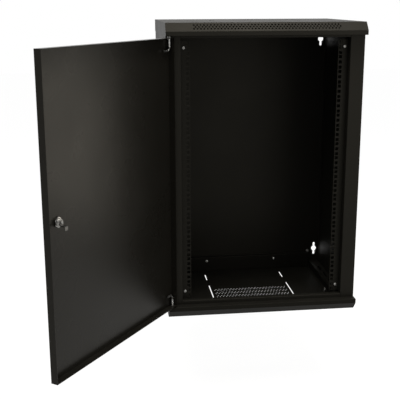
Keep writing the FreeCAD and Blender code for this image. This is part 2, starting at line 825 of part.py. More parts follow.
def ring(label, low, high, inner, outer):
    """A plain ring about the hinge axis."""
    body = new_body(label)
    hole = bore(PIN_SIDES, HINGE_X, HINGE_Y, inner)
    pad(body, "XY", low, high, disc(PIN_SIDES, HINGE_X, HINGE_Y, outer), hole)
    return body


def hinge_pin(name, face):
    """A rod through the door's flange into the shelf beyond it, bent into a finger pull."""
    body = new_body(f"hinge_pin_{name}")

    def level(text):
        return f"{face} * ({text})"

    tip = level(f"({LIP_EDGE} + pin_engagement)")
    corners = [
        (HINGE_X, tip),
        (HINGE_X, level(f"({PIN_ARM} + pin_bend)")),
        (f"{HINGE_X} + pin_bend", level(PIN_ARM)),
        (f"{HINGE_X} + pin_arm", level(PIN_ARM)),
    ]

    def route(sketch):
        points = [Vector(number(sketch, x), number(sketch, z), 0) for x, z in corners]
        for index, (start, end) in enumerate(zip(points, points[1:])):
            run = sketch.addGeometry(Part.LineSegment(start, end), False)
            if index:
                sketch.addConstraint(Sketcher.Constraint("Coincident", run - 1, 2, run, 1))
            fix_point(sketch, run, 1, *corners[index])
        fix_point(sketch, run, 2, *corners[-1])

    spine = new_sketch(body, "XZ", HINGE_Y, [route])
    section = new_sketch(body, "XY", tip, [disc(PIN_SIDES, HINGE_X, HINGE_Y, "pin_radius")])
    pipe = body.newObject("PartDesign::AdditivePipe", "pipe")
    pipe.Profile = section
    pipe.Spine = (spine, ["Edge1", "Edge2", "Edge3"])
    pipe.Transition = "Right corner"
    body.Tip = pipe
    chamfer_tip(body, tip)
    swing(body)


def chamfer_tip(body, z):
    """Take the sharp edge off the end of a pin."""
    doc.recompute()
    base = body.Tip
    end = number(body, z)
    names = [
        f"Edge{index}"
        for index, edge in enumerate(base.Shape.Edges, start=1)
        if abs(edge.BoundBox.ZMin - end) < SNAP and abs(edge.BoundBox.ZMax - end) < SNAP
    ]
    chamfer = body.newObject("PartDesign::Chamfer", "tip")
    chamfer.Base = (base, names)
    bind(chamfer, "Size", "pin_tip_chamfer")
    body.Tip = chamfer


def hinge(name, face):
    """One sprung hinge: guide, pin, clip and spring on the door, and a washer in the gap."""
    hinge_guide(name, face)
    hinge_pin(name, face)
    clip_top = f"({DOOR_EDGE} - sheet - washer_play)"
    clip_foot = f"({DOOR_EDGE} - sheet - washer_play - clip_thickness)"
    clip = ring(f"hinge_clip_{name}", *span(face, clip_foot, clip_top), PIN_HOLE, "clip_radius")
    coil = span(face, f"({GUIDE_LEVEL} + sheet)", clip_foot)
    spring = ring(f"hinge_spring_{name}", *coil, "spring_inner_radius", "spring_outer_radius")
    foot = DOOR_EDGE if face > 0 else f"{DOOR_EDGE} + washer_play"
    stack = span(face, foot, f"{foot} + door_gap - washer_play")
    washer = ring(f"hinge_washer_{name}", *stack, PIN_HOLE, "washer_radius")
    for piece in (clip, spring, washer):
        swing(piece)


# ---------------------------------------------------------------- cam lock


def lock_disc(radius):
    return disc(LOCK_SIDES, LOCK_X, LOCK_Z, radius)


def lock_bore(radius):
    return bore(LOCK_SIDES, LOCK_X, LOCK_Z, f"{radius} + fit_clearance")


def cam_lock():
    """Barrel through the door, nut behind it, and the plug that turns the cam."""
    face = f"({FRONT} - lock_flange)"
    plug_end = f"({FRONT} + lock_length)"
    barrel = new_body("lock_barrel")
    pad(barrel, "XZ", face, FRONT, lock_disc("lock_flange_radius"), lock_bore("plug_radius"))
    barrel_end = f"({plug_end} - running_gap)"
    pad(barrel, "XZ", FRONT, barrel_end, lock_disc("lock_radius"), lock_bore("plug_radius"))

    nut = new_body("lock_nut")
    skin = f"({FRONT} + sheet)"
    outline = disc(6, LOCK_X, LOCK_Z, "lock_nut_radius")
    pad(nut, "XZ", skin, f"{skin} + lock_nut_thickness", outline, lock_bore("lock_radius"))

    plug = new_body("lock_plug")
    pad(plug, "XZ", face, plug_end, lock_disc("plug_radius"))
    key_slot = rectangle(
        f"{LOCK_X} - key_slot_width / 2",
        f"{LOCK_X} + key_slot_width / 2",
        f"{LOCK_Z} - key_slot_length / 2",
        f"{LOCK_Z} + key_slot_length / 2",
    )
    cut(plug, "XZ", f"{face} - sheet", FRONT, key_slot)
    screw_bore = bore(SCREW_SIDES, LOCK_X, LOCK_Z, "cam_screw_radius + fit_clearance")
    cut(plug, "XZ", f"{plug_end} - cam_screw_grip", f"{plug_end} + sheet", screw_bore)

    cam = new_body("lock_cam")
    base_back = f"({plug_end} + cam_thickness)"
    tip_back = f"({LATCH_FACE} + cam_thickness)"
    top = f"{LOCK_Z} + cam_half_width"
    crank, tip = f"{LOCK_Z} - cam_crank", f"{LOCK_Z} - cam_reach"
    side_view = [
        (plug_end, top),
        (plug_end, f"{crank} - cam_thickness"),
        (LATCH_FACE, f"{crank} - cam_thickness"),
        (LATCH_FACE, tip),
        (tip_back, tip),
        (tip_back, crank),
        (base_back, crank),
        (base_back, top),
    ]
    pad(cam, "YZ", f"{LOCK_X} - cam_half_width", f"{LOCK_X} + cam_half_width", polygon(side_view))
    cut(cam, "XZ", f"{plug_end} - sheet", f"{base_back} + sheet", screw_bore)

    screw = new_body("lock_cam_screw")
    shank = disc(SCREW_SIDES, LOCK_X, LOCK_Z, "cam_screw_radius")
    pad(screw, "XZ", f"{plug_end} - cam_screw_grip", base_back, shank)
    head = disc(2 * SCREW_SIDES, LOCK_X, LOCK_Z, "cam_screw_head_radius")
    pad(screw, "XZ", base_back, f"{base_back} + cam_screw_head", head)
    for piece in (barrel, nut, plug, cam, screw):
        swing(piece)


# ---------------------------------------------------------------- build and export


def build():
    fill_sheet()
    roof_hood()
    base_tray()
    rear_panel()
    cross_member("front_sill", -1, "sill_height")
    cross_member("front_header", 1, "header_height")
    for name, side in SIDES.items():
        side_panel(name, side)
        front_post(name, side)
        rack_rail(name, side)
        for height_name, face in LEVELS.items():
            depth_rail(name, side, height_name, face)
            rail_bracket(name, side, height_name, face)
    for height_name, face in LEVELS.items():
        rear_cross_rail(height_name, face)
        hinge(height_name, face)
    fasteners()
    door_panel()
    cam_lock()
    doc.recompute()


def check():
    """Stop if any object failed to rebuild, or any node's shape is empty or not valid."""
    failed = [item.Name for item in doc.Objects if {"Invalid", "Error"} & set(item.State)]
    if failed:
        raise RuntimeError(f"failed objects: {failed}")
    for node in nodes:
        if node.Shape.isNull() or not node.Shape.isValid() or not node.Shape.Solids:
            raise RuntimeError(f"bad shape: {node.Label}")


def export():
    os.makedirs("parts", exist_ok=True)
    for node in nodes:
        node.Shape.exportStep(f"parts/{node.Label}.step")
        print(f"{node.Label}: {len(node.Shape.Solids)} solid(s), {node.Shape.Volume / 1000:.2f} cm3")


build()
check()
export()
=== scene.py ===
"""Looks of the wall mount network cabinet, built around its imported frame.

Sheet metal keeps the frame's own solids and gets procedural finishes. Screws, nuts, studs, springs
and the lock are remade here in full detail and stand for the plain solids of the same name.
"""

import json
import logging
import math
from dataclasses import dataclass, field
from enum import Enum

import bmesh
import bpy
from mathutils import Matrix, Vector


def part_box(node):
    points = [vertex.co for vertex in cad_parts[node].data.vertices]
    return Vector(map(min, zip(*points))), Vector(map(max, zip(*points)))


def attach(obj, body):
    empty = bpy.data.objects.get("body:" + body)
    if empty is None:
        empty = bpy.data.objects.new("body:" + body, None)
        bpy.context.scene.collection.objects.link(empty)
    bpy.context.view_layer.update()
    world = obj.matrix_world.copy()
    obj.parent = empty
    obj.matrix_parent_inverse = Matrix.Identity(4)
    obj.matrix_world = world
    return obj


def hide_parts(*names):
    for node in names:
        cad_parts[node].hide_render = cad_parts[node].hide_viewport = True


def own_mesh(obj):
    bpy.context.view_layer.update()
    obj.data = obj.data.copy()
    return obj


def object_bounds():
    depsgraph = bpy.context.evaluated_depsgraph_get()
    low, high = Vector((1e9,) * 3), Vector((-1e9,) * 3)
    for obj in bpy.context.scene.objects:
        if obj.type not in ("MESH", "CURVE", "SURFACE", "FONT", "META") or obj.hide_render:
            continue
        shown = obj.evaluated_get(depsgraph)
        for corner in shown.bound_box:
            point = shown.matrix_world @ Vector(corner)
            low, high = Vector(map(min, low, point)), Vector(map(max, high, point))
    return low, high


LOG = logging.getLogger("cabinet")
TINY = 1e-6
MERGE = 1e-7

Colour = tuple[float, float, float]
Point = tuple[float, float, float]
Pair = tuple[float, float]
NodeTree = bpy.types.NodeTree
Material = bpy.types.Material
Node = bpy.types.Node
Socket = bpy.types.NodeSocket

WHITE: Colour = (1.0, 1.0, 1.0)

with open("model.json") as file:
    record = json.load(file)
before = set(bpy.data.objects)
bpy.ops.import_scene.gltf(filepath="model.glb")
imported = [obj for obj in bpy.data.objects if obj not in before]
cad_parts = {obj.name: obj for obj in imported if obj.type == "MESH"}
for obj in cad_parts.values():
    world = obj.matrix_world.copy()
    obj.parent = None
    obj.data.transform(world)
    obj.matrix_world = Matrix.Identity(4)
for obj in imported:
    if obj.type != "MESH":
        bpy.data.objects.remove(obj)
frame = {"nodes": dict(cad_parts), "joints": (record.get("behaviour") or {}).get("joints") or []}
CAD_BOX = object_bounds()


# ---------------------------------------------------------------- finishes


class Slot(Enum):
    """Names of three of the record's material slots."""

    ZINC = "zinc_plate"
    NICKEL = "nickel_plate"
    SPRING = "spring_steel"


class Tree:
    """A node tree under construction."""

    def __init__(self, tree: NodeTree) -> None:
        """Take over a node tree.

        Args:
            tree: The material's, world's or group's own node tree.
        """
        self.tree = tree
        self.column = 0

    def add(self, kind: str, **values: object) -> Node:
        """Place a node.

        Args:
            kind: The node's type name, without its ShaderNode prefix.
            **values: Attributes of the node.

        Returns:
            The new node.
        """
        node = self.tree.nodes.new(f"ShaderNode{kind}")
        for name, value in values.items():
            setattr(node, name, value)
        node.location = (180 * self.column, 0)
        self.column += 1
        return node

    def feed(self, socket: Socket, source: object) -> None:
        """Link an output to an input, or set the input's own value.

        Args:
            socket: The input.
            source: An output socket, or a plain value.
        """
        if isinstance(source, Socket):
            self.tree.links.new(source, socket)
        elif isinstance(source, tuple) and len(source) == 3 and socket.type == "RGBA":
            socket.default_value = (*source, 1.0)
        else:
            socket.default_value = source

    def math(self, operation: str, *terms: object, clamp: bool = False) -> Socket:
        """A Math node.

        Args:
            operation: Its operation.
            *terms: Its inputs, sockets or numbers.
            clamp: Whether it keeps its result between 0 and 1.

        Returns:
            Its result.
        """
        node = self.add("Math", operation=operation, use_clamp=clamp)
        for socket, term in zip(node.inputs, terms):
            self.feed(socket, term)
        return node.outputs[0]

    def noise(
        self, place: object, scale: object, detail: float, roughness: float = 0.5
    ) -> Socket:
        """A Noise Texture's value.

        Args:
            place: The coordinates.
            scale: Features per metre.
            detail: Number of octaves.
            roughness: Strength of the finer octaves.

        Returns:
            The noise, about 0.5 on average.
        """
        node = self.add("TexNoise", noise_dimensions="3D")
        self.feed(node.inputs["Vector"], place)
        self.feed(node.inputs["Scale"], scale)
        self.feed(node.inputs["Detail"], detail)
        self.feed(node.inputs["Roughness"], roughness)
        return node.outputs["Fac"]

    def spread(
        self, value: object, low: float, high: float, to_low: object, to_high: object
    ) -> Socket:
        """A clamped Map Range.

        Args:
            value: What is mapped.
            low: The value that gives to_low.
            high: The value that gives to_high.
            to_low: Result at the low end.
            to_high: Result at the high end.

        Returns:
            The mapped value.
        """
        node = self.add("MapRange", clamp=True)
        for name, source in (
            ("Value", value),
            ("From Min", low),
            ("From Max", high),
            ("To Min", to_low),
            ("To Max", to_high),
        ):
            self.feed(node.inputs[name], source)
        return node.outputs["Result"]

    def mix(self, factor: object, first: object, second: object) -> Socket:
        """A colour mix.

        Args:
            factor: Share of the second colour.
            first: Colour at 0.
            second: Colour at 1.

        Returns:
            The mixed colour.
        """
        node = self.add("Mix", data_type="RGBA")
        self.feed(node.inputs["Factor"], factor)
        self.feed(node.inputs[6], first)
        self.feed(node.inputs[7], second)
        return node.outputs[2]

    def bump(self, height: object, distance: float, normal: object) -> Socket:
        """A Bump node at full strength.

        Args:
            height: The height that is drawn.
            distance: Height of its full range, in metres.
            normal: The normal it starts from.

        Returns:
            The bumped normal.
        """
        node = self.add("Bump")
        self.feed(node.inputs["Strength"], 1.0)
        self.feed(node.inputs["Distance"], distance)
        self.feed(node.inputs["Height"], height)
        self.feed(node.inputs["Normal"], normal)
        return node.outputs[0]

    def group(self, tree: NodeTree, **values: object) -> Node:
        """Place a node group.

        Args:
            tree: The group.
            **values: Its inputs by name, with underscores for spaces.

        Returns:
            The group's node.
        """
        node = self.add("Group", node_tree=tree)
        for name, value in values.items():
            self.feed(node.inputs[name.replace("_", " ").capitalize()], value)
        return node


def new_material(name: str) -> tuple[Material, Tree]:
    """An empty material.

    Args:
        name: Its name.

    Returns:
        The material and its node tree.
    """
    material = bpy.data.materials.new(name)
    material.use_nodes = True
    material.node_tree.nodes.clear()
    return material, Tree(material.node_tree)


def new_group(
    name: str, takes: dict[str, float], gives: dict[str, str]
) -> tuple[Tree, Node, Node]:
    """An empty node group with its sockets.

    Args:
        name: The group's name.
        takes: Its number inputs, with their defaults.
        gives: Its outputs, with their socket types.

    Returns:
        The tree, its input node and its output node.
    """
    tree = bpy.data.node_groups.new(name, "ShaderNodeTree")
    for socket, default in takes.items():
        made = tree.interface.new_socket(name=socket, in_out="INPUT", socket_type="NodeSocketFloat")
        made.default_value = default
    for socket, kind in gives.items():
        tree.interface.new_socket(name=socket, in_out="OUTPUT", socket_type=f"NodeSocket{kind}")
    work = Tree(tree)
    return work, tree.nodes.new("NodeGroupInput"), tree.nodes.new("NodeGroupOutput")


class Effects:
    """The surface effects that the finishes share, each a node group built once.

    Scales count features per metre.
    """

    cloud_scale = 7.0
    stain_scale = 260.0
    dust_scale = 9.0
    bevel_samples = 6

    def __init__(self) -> None:
        """Build the groups."""
        self.edges = self._edges()
        self.powder = self._powder()
        self.plating = self._plating()
        self.dust = self._dust()

    def _edges(self) -> NodeTree:
        """Softened edges: a rounded normal, and a mask of where the surface turns.

        Returns:
            The group.
        """
        work, taken, given = new_group(
            "softened_edges", {"Radius": 0.0006}, {"Normal": "Vector", "Edge": "Float"}
        )
        bevel = work.add("Bevel", samples=self.bevel_samples)
        work.feed(bevel.inputs["Radius"], taken.outputs["Radius"])
        flat = work.add("NewGeometry")
        turn = work.add("VectorMath", operation="DOT_PRODUCT")
        work.feed(turn.inputs[0], bevel.outputs[0])
        work.feed(turn.inputs[1], flat.outputs["Normal"])
        mask = work.spread(turn.outputs["Value"], 0.995, 0.8, 0.0, 1.0)
        work.feed(given.inputs["Normal"], bevel.outputs[0])
        work.feed(given.inputs["Edge"], mask)
        return work.tree

    def _powder(self) -> NodeTree:
        """Powder coat: fine grain on a slow orange peel, with cloudy changes of tone and gloss.

        Returns:
            The group.
        """
        work, taken, given = new_group(
            "powder_surface",
            {"Grain size": 0.0006, "Peel size": 0.004, "Grain": 0.5, "Peel": 0.5},
            {"Height": "Float", "Tone": "Float", "Gloss": "Float"},
        )
        place = work.add("TexCoord").outputs["Object"]
        grain = work.noise(place, work.math("DIVIDE", 1.0, taken.outputs["Grain size"]), 2.0, 0.6)
        peel = work.noise(place, work.math("DIVIDE", 1.0, taken.outputs["Peel size"]), 2.0)
        cloud = work.noise(place, self.cloud_scale, 3.0)
        height = work.math(
            "ADD",
            work.math("MULTIPLY", grain, taken.outputs["Grain"]),
            work.math("MULTIPLY", peel, taken.outputs["Peel"]),
        )
        work.feed(given.inputs["Height"], height)
        work.feed(given.inputs["Tone"], work.spread(grain, 0.35, 0.68, 0.0, 1.0))
        work.feed(given.inputs["Gloss"], work.spread(cloud, 0.3, 0.7, 0.0, 1.0))
        return work.tree

    def _plating(self) -> NodeTree:
        """Plated metal: turning marks, a mottled crystal bloom and faint stains.

        Returns:
            The group.
        """
        work, taken, given = new_group(
            "plated_surface",
            {"Mark size": 0.0003, "Bloom size": 0.002},
            {"Height": "Float", "Tone": "Float", "Gloss": "Float"},
        )
        place = work.add("TexCoord").outputs["Object"]
        marks = work.noise(place, work.math("DIVIDE", 1.0, taken.outputs["Mark size"]), 1.0)
        cells = work.add("TexVoronoi")
        work.feed(cells.inputs["Vector"], place)
        work.feed(cells.inputs["Scale"], work.math("DIVIDE", 1.0, taken.outputs["Bloom size"]))
        bloom = work.add("SeparateColor")
        work.feed(bloom.inputs[0], cells.outputs["Color"])
        stain = work.noise(place, self.stain_scale, 3.0)
        work.feed(given.inputs["Height"], marks)
        work.feed(given.inputs["Tone"], work.spread(stain, 0.35, 0.7, 0.0, 1.0))
        work.feed(given.inputs["Gloss"], bloom.outputs[0])
        return work.tree

    def _dust(self) -> NodeTree:
        """Settled dust: a mask on faces that look up, broken into patches.

        Returns:
            The group.
        """
        work, taken, given = new_group("settled_dust", {"Amount": 0.1}, {"Mask": "Float"})
        face = work.add("SeparateXYZ")
        work.feed(face.inputs[0], work.add("NewGeometry").outputs["Normal"])
        place = work.add("TexCoord").outputs["Object"]
        patches = work.noise(place, self.dust_scale, 7.0, 0.6)
        up = work.spread(face.outputs["Z"], 0.55, 1.0, 0.0, taken.outputs["Amount"])
        cover = work.spread(patches, 0.4, 0.75, 0.1, 1.0)
        work.feed(given.inputs["Mask"], work.math("MULTIPLY", up, cover))
        return work.tree


@dataclass(frozen=True)
class PowderCoat:
    """Black powder coat on sheet steel.

    Attributes:
        speck: Colour of the grain's peaks.
        worn: Colour of rubbed edges.
        wear: How far edges are rubbed.
        rub_scale: Rubbed patches per metre.
        dust: How thick dust lies on level faces.
        dust_matt: Roughness that full dust adds.
    """

    name: str
    colour: Colour = (0.0078, 0.0074, 0.0061)
    speck: Colour = (0.0145, 0.0138, 0.0112)
    worn: Colour = (0.06, 0.058, 0.052)
    dusty: Colour = (0.32, 0.31, 0.29)
    roughness: float = 0.38
    roughness_spread: float = 0.06
    specular: float = 0.12
    tint: Colour = (1.0, 0.95, 0.82)
    wear: float = 0.35
    bump: float = 0.00006
    edge_radius: float = 0.0007
    rub_scale: float = 90.0
    dust: float = 0.018
    dust_matt: float = 0.4

    def make(self, effects: Effects) -> Material:
        """Build the material.

        Args:
            effects: The shared node groups.

        Returns:
            The material.
        """
        material, work = new_material(self.name)
        surface = work.group(effects.powder)
        edges = work.group(effects.edges, radius=self.edge_radius)
        dust = work.group(effects.dust, amount=self.dust)
        place = work.add("TexCoord").outputs["Object"]
        rub = work.spread(work.noise(place, self.rub_scale, 4.0, 0.7), 0.5, 0.7, 0.0, self.wear)
        wear = work.math("MULTIPLY", edges.outputs["Edge"], rub)
        colour = work.mix(surface.outputs["Tone"], self.colour, self.speck)
        colour = work.mix(wear, colour, self.worn)
        colour = work.mix(dust.outputs["Mask"], colour, self.dusty)
        half = self.roughness_spread / 2
        gloss = work.spread(
            surface.outputs["Gloss"], 0.0, 1.0, self.roughness - half, self.roughness + half
        )
        matt = work.math("MULTIPLY", dust.outputs["Mask"], self.dust_matt)
        gloss = work.math("ADD", gloss, matt, clamp=True)
        normal = work.bump(surface.outputs["Height"], self.bump, edges.outputs["Normal"])
        shader = work.add("BsdfPrincipled")
        work.feed(shader.inputs["Base Color"], colour)
        work.feed(shader.inputs["Roughness"], gloss)
        work.feed(shader.inputs["Specular IOR Level"], self.specular)
        work.feed(shader.inputs["Specular Tint"], self.tint)
        work.feed(shader.inputs["Normal"], normal)
        work.feed(work.add("OutputMaterial").inputs["Surface"], shader.outputs[0])
        return material


@dataclass(frozen=True)
class Plated:
    """Zinc, nickel or bare wire."""

    name: str
    colour: Colour
    stain: Colour
    roughness: float
    roughness_spread: float = 0.1
    bump: float = 0.000015
    edge_radius: float = 0.0002
    bloom_size: float = 0.0016

    def make(self, effects: Effects) -> Material:
        """Build the material.

        Args:
            effects: The shared node groups.

        Returns:
            The material.
        """
        material, work = new_material(self.name)
        surface = work.group(effects.plating, bloom_size=self.bloom_size)
        edges = work.group(effects.edges, radius=self.edge_radius)
        colour = work.mix(surface.outputs["Tone"], self.colour, self.stain)
        roughest = self.roughness + self.roughness_spread
        gloss = work.spread(surface.outputs["Gloss"], 0.0, 1.0, self.roughness, roughest)
        normal = work.bump(surface.outputs["Height"], self.bump, edges.outputs["Normal"])
        shader = work.add("BsdfPrincipled")
        work.feed(shader.inputs["Base Color"], colour)
        work.feed(shader.inputs["Metallic"], 1.0)
        work.feed(shader.inputs["Roughness"], gloss)
        work.feed(shader.inputs["Normal"], normal)
        work.feed(work.add("OutputMaterial").inputs["Surface"], shader.outputs[0])
        return material


class Paints:
    """Every material of the cabinet, made once."""

    def __init__(self) -> None:
        """Make the materials."""
        effects = Effects()
        coats = (
            PowderCoat("powder_shell", (0.0098, 0.0093, 0.0077), roughness=0.46, specular=0.09),
            PowderCoat("powder_base", (0.0095, 0.0091, 0.0076), roughness=0.46, specular=0.05),
            PowderCoat(
                "powder_walls", (0.012, 0.0115, 0.0095), roughness=0.46, specular=0.09, dust=0.012
            ),
            PowderCoat("powder_door", (0.0085, 0.0076, 0.006), roughness=0.28, specular=0.115),
            PowderCoat("powder_frame", roughness=0.42, specular=0.085),
            PowderCoat(
                "powder_rail", (0.0065, 0.0062, 0.0052), roughness=0.45, specular=0.07, wear=0.3
            ),
        )
        metals = (
            # Zinc in two copies of one plating: the darker one carries painted shade, dimmed for
            # the dark surround the screws mirror; the lighter one carries a painted highlight for
            # screws that catch more light.
            Plated("zinc_with_painted_shade", (0.3, 0.3, 0.29), (0.2, 0.195, 0.18), 0.36),
            Plated("zinc_with_painted_highlight", (0.68, 0.68, 0.66), (0.5, 0.49, 0.46), 0.34),
            Plated("pin_zinc", (0.36, 0.36, 0.345), (0.24, 0.235, 0.22), 0.3),
            Plated("clip_steel", (0.13, 0.13, 0.126), (0.085, 0.083, 0.077), 0.38),
            # The lock's metal and its cam are dark grey, darker than bright nickel and steel:
            # partly their own dull tone, partly painted shade for the dark surround they mirror.
            Plated("lock_metal_with_painted_shade", (0.22, 0.216, 0.205), (0.165, 0.161, 0.15), 0.18),
            Plated("cam_steel_with_painted_shade", (0.13, 0.127, 0.12), (0.08, 0.077, 0.07), 0.36),
            Plated("spring_wire", (0.5, 0.5, 0.49), (0.36, 0.35, 0.33), 0.28),
        )
        self.shell, self.base, self.walls, self.door, self.frame, self.rail = (
            coat.make(effects) for coat in coats
        )
        self.zinc, self.bright, self.pin, self.clip, self.lock, self.cam, self.wire = (
            metal.make(effects) for metal in metals
        )


def paint(piece: bpy.types.Object, material: Material) -> None:
    """Give a piece its one material.

    Args:
        piece: A new piece or a node's object.
        material: Its finish.
    """
    if not piece.material_slots:
        piece.data.materials.append(material)
    for place in piece.material_slots:
        place.material = material


# ---------------------------------------------------------------- forms


def round_turns(sides: int) -> list[float]:
    """The turns of a ring's points, in radians.

    Args:
        sides: Number of points.

    Returns:
        One turn for each point, from 0.
    """
    return [2 * math.pi * step / sides for step in range(sides)]


def circle(place: Matrix, radius: float, level: float, turns: list[float]) -> list[Vector]:
    """A round ring about a local Z axis.

    Args:
        place: Local frame to row frame.
        radius: The ring's radius.
        level: Its height on the axis.
        turns: The turns of its points.

    Returns:
        Its points.
    """
    return [
        place @ Vector((radius * math.cos(turn), radius * math.sin(turn), level)) for turn in turns
    ]


class Form:
    """A mesh under construction, in metres in the row's frame."""

    def __init__(self) -> None:
        """Start with no faces."""
        self.mesh = bmesh.new()

    def skin(self, rings: list[list[Vector]], closed: bool = False, caps: bool = False) -> None:
        """Join rings of points by quads.

        Args:
            rings: Rings with the same number of points.
            closed: Whether the last ring joins the first.
            caps: Whether the first and last rings are filled.
        """
        rows = [[self.mesh.verts.new(point) for point in ring] for ring in rings]
        nexts = rows[1:] + rows[:1] if closed else rows[1:]
        for row, following in zip(rows, nexts):
            for a, b, c, d in zip(row, row[1:] + row[:1], following[1:] + following[:1], following):
                self.mesh.faces.new((a, b, c, d))
        if caps:
            self.mesh.faces.new(list(reversed(rows[0])))
            self.mesh.faces.new(rows[-1])

    def object(self, name: str, smooth: float | None = 35.0) -> bpy.types.Object:
        """Finish the mesh and put it in the scene.

        Args:
            name: The piece's name.
            smooth: Edges sharper than this many degrees stay sharp; None leaves flat faces.

        Returns:
            The new object.
        """
        bmesh.ops.remove_doubles(self.mesh, verts=self.mesh.verts, dist=MERGE)
        bmesh.ops.recalc_face_normals(self.mesh, faces=self.mesh.faces)
        data = bpy.data.meshes.new(name)
        self.mesh.to_mesh(data)
        self.mesh.free()
        if smooth is not None:
            data.polygons.foreach_set("use_smooth", [True] * len(data.polygons))
            data.set_sharp_from_angle(angle=math.radians(smooth))
        piece = bpy.data.objects.new(name, data)
        bpy.context.scene.collection.objects.link(piece)
        return piece


def facing(point: Vector, outward: Vector, up: Vector = Vector((0, 0, 1))) -> Matrix:
    """A frame whose Z axis points outward from a point.

    Args:
        point: Its origin.
        outward: Its Z direction.
        up: Roughly its Y direction.

    Returns:
        Local frame to row frame.
    """
    z = outward.normalized()
    if abs(z.dot(up)) > 0.99:
        up = Vector((0, 1, 0))
    x = up.cross(z).normalized()
    y = z.cross(x)
    turn = Matrix((x, y, z)).transposed().to_4x4()
    return Matrix.Translation(point) @ turn


@dataclass
class CrossHeadScrew:
    """A pan head screw with a cross recess; its head bears on the local origin.

    Attributes:
        recess: How far the recess's arms reach.
        recess_width: Half the width of an arm.
        recess_taper: Size of the recess's floor, as a share of its mouth.
        inner_corner: Where two arms meet, as a share of recess_width.
        root: Radius of the thread's root, as a share of the shank's.
        tip: Radius of the shank's tip, as a share of the shank's.
        neck: Plain length under the head.
        rim: Radius where the head bears, as a share of the head's.
        crown_top: Radius at the top of the crown, as a share of the head's.
        crown_foot: Height where the crown starts, as a share of the head's.
    """

    head_radius: float = 0.0048
    head_height: float = 0.0029
    shank_radius: float = 0.0025
    length: float = 0.007
    recess: float = 0.0026
    recess_width: float = 0.00075
    recess_depth: float = 0.0016
    recess_taper: float = 0.62
    inner_corner: float = 1.414
    pitch: float = 0.0008
    root: float = 0.84
    tip: float = 0.7
    neck: float = 0.0001
    rim: float = 0.985
    crown_top: float = 0.62
    crown_foot: float = 0.2
    crown_steps: int = 6
    sides: int = 40

    def shank(self) -> list[Pair]:
        """The threaded shank.

        Returns:
            Radius and height pairs from the tip to the head.
        """
        level = self.pitch - self.length
        profile = [(self.shank_radius * self.tip, -self.length), (self.shank_radius, level)]
        while level < -self.pitch:
            profile.append((self.shank_radius, level))
            profile.append((self.shank_radius * self.root, level + self.pitch / 2))
            level += self.pitch
        return profile + [(self.shank_radius, -self.neck), (self.shank_radius, 0.0)]

    def head(self) -> list[Pair]:
        """The crowned head.

        Returns:
            Radius and height pairs from its seat to its top.
        """
        profile = [(self.head_radius * self.rim, 0.0)]
        for step in range(self.crown_steps + 1):
            turn = math.pi / 2 * step / self.crown_steps
            wide = self.crown_top + (1 - self.crown_top) * math.cos(turn)
            high = self.crown_foot + (1 - self.crown_foot) * math.sin(turn)
            profile.append((self.head_radius * wide, self.head_height * high))
        return profile

    def cross(self, turn: float) -> float:
        """The recess's outline.

        Args:
            turn: A turn about the axis, in radians.

        Returns:
            Its radius there.
        """
        thin = max(TINY, min(abs(math.cos(turn)), abs(math.sin(turn))))
        arm = min(self.recess, self.recess_width / thin)
        return max(arm, self.recess_width * self.inner_corner)

    def add(self, form: Form, place: Matrix) -> None:
        """Add the screw to a form.

        Args:
            form: Where its faces go.
            place: Frame with Z out of the head.
        """
        turns = round_turns(self.sides)
        rings = [circle(place, *point, turns) for point in self.shank() + self.head()]
        floor = self.head_height - self.recess_depth
        for size, level in ((1.0, self.head_height), (self.recess_taper, floor)):
            ring = []
            for turn in turns:
                ring += circle(place, size * self.cross(turn), level, [turn])
            rings.append(ring)
        form.skin(rings, caps=True)


@dataclass
class ThreadedRod:
    """A plain threaded stud, standing on the local origin.

    Attributes:
        steps: Points in a ring.
        levels_per_turn: Rings in one turn of the thread.
        tip_taper: How far the last turn runs out, as a share of the depth.
    """

    radius: float = 0.003
    length: float = 0.014
    pitch: float = 0.001
    depth: float = 0.00055
    steps: int = 24
    levels_per_turn: int = 6
    tip_taper: float = 0.8

    def rings(self, place: Matrix) -> list[list[Vector]]:
        """The rod's rings from foot to tip, its thread cut as one helix.

        Args:
            place: Frame with Z along the rod.

        Returns:
            One ring of points for each level.
        """
        count = max(2, int(self.length / self.pitch * self.levels_per_turn))
        rings = []
        for station in range(count + 1):
            level = self.length * station / count
            fade = min(1.0, (self.length - level) / self.pitch)
            ring = []
            for step, turn in enumerate(round_turns(self.steps)):
                phase = (level / self.pitch - step / self.steps) % 1.0
                groove = abs(2 * phase - 1) if station else 1.0
                radius = self.radius - self.depth * (1 - groove)
                radius -= self.tip_taper * self.depth * (1 - fade)
                ring += circle(place, radius, level, [turn])
            rings.append(ring)
        return rings

    def add(self, form: Form, place: Matrix) -> None:
        """Add the solid rod to a form.

        Args:
            form: Where its faces go.
            place: Frame with Z along the rod.
        """
        form.skin(self.rings(place), caps=True)


